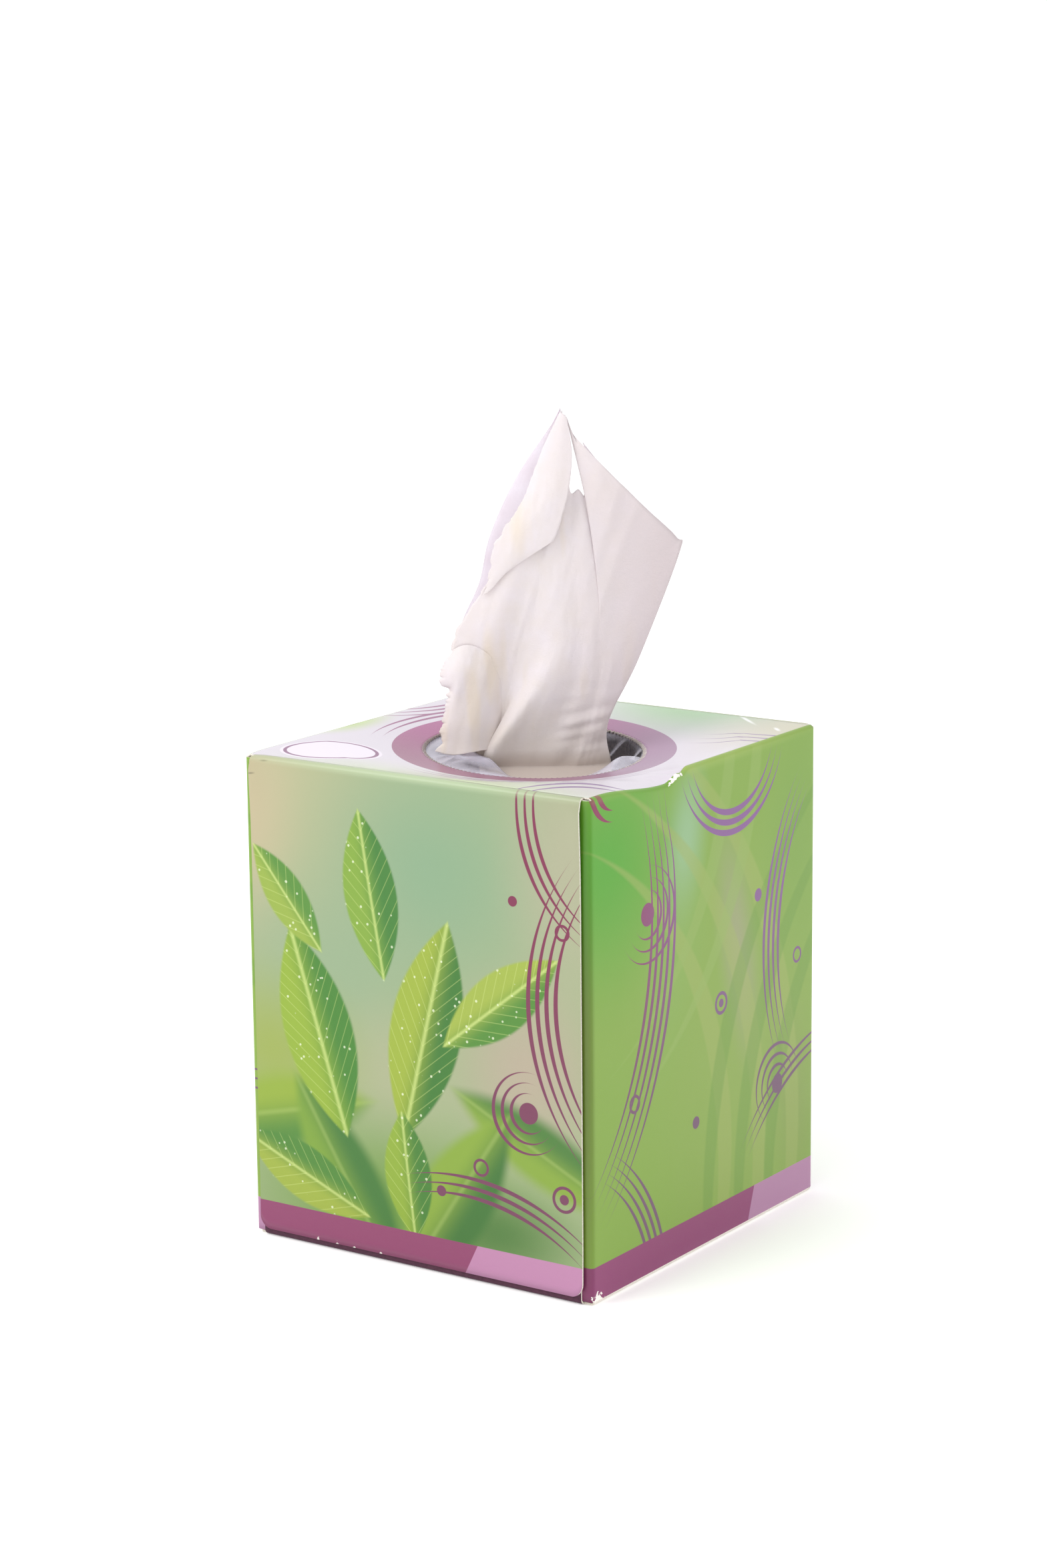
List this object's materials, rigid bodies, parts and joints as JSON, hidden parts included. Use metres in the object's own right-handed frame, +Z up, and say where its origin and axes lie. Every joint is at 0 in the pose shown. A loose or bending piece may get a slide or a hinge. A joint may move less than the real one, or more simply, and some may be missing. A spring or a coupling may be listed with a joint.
{
  "type": "tissue box",
  "caption": "Cube-shaped paperboard carton of facial tissues, with a round opening, a slitted film window and one tissue pulled up through it.",
  "frame": {"origin": "middle of the carton's underside, on the surface that it stands on", "axes": "+Z up; -Y towards one end closure and +X towards one side wall, the two faces that the picture shows"},
  "size_m": [0.1024, 0.1076, 0.21],
  "materials": {
    "printed_paperboard": "printed and varnished on the outside, plain grey board inside",
    "clear_film": "thin clear film, glossy and slightly wrinkled",
    "tissue_paper": "soft creped tissue, matte and slightly see-through"
  },
  "bodies": {
    "root": {"carton": "printed_paperboard", "window_film": "clear_film", "tissue_pile": "tissue_paper", "pulled_tissue": "tissue_paper"}
  },
  "joints": []
}
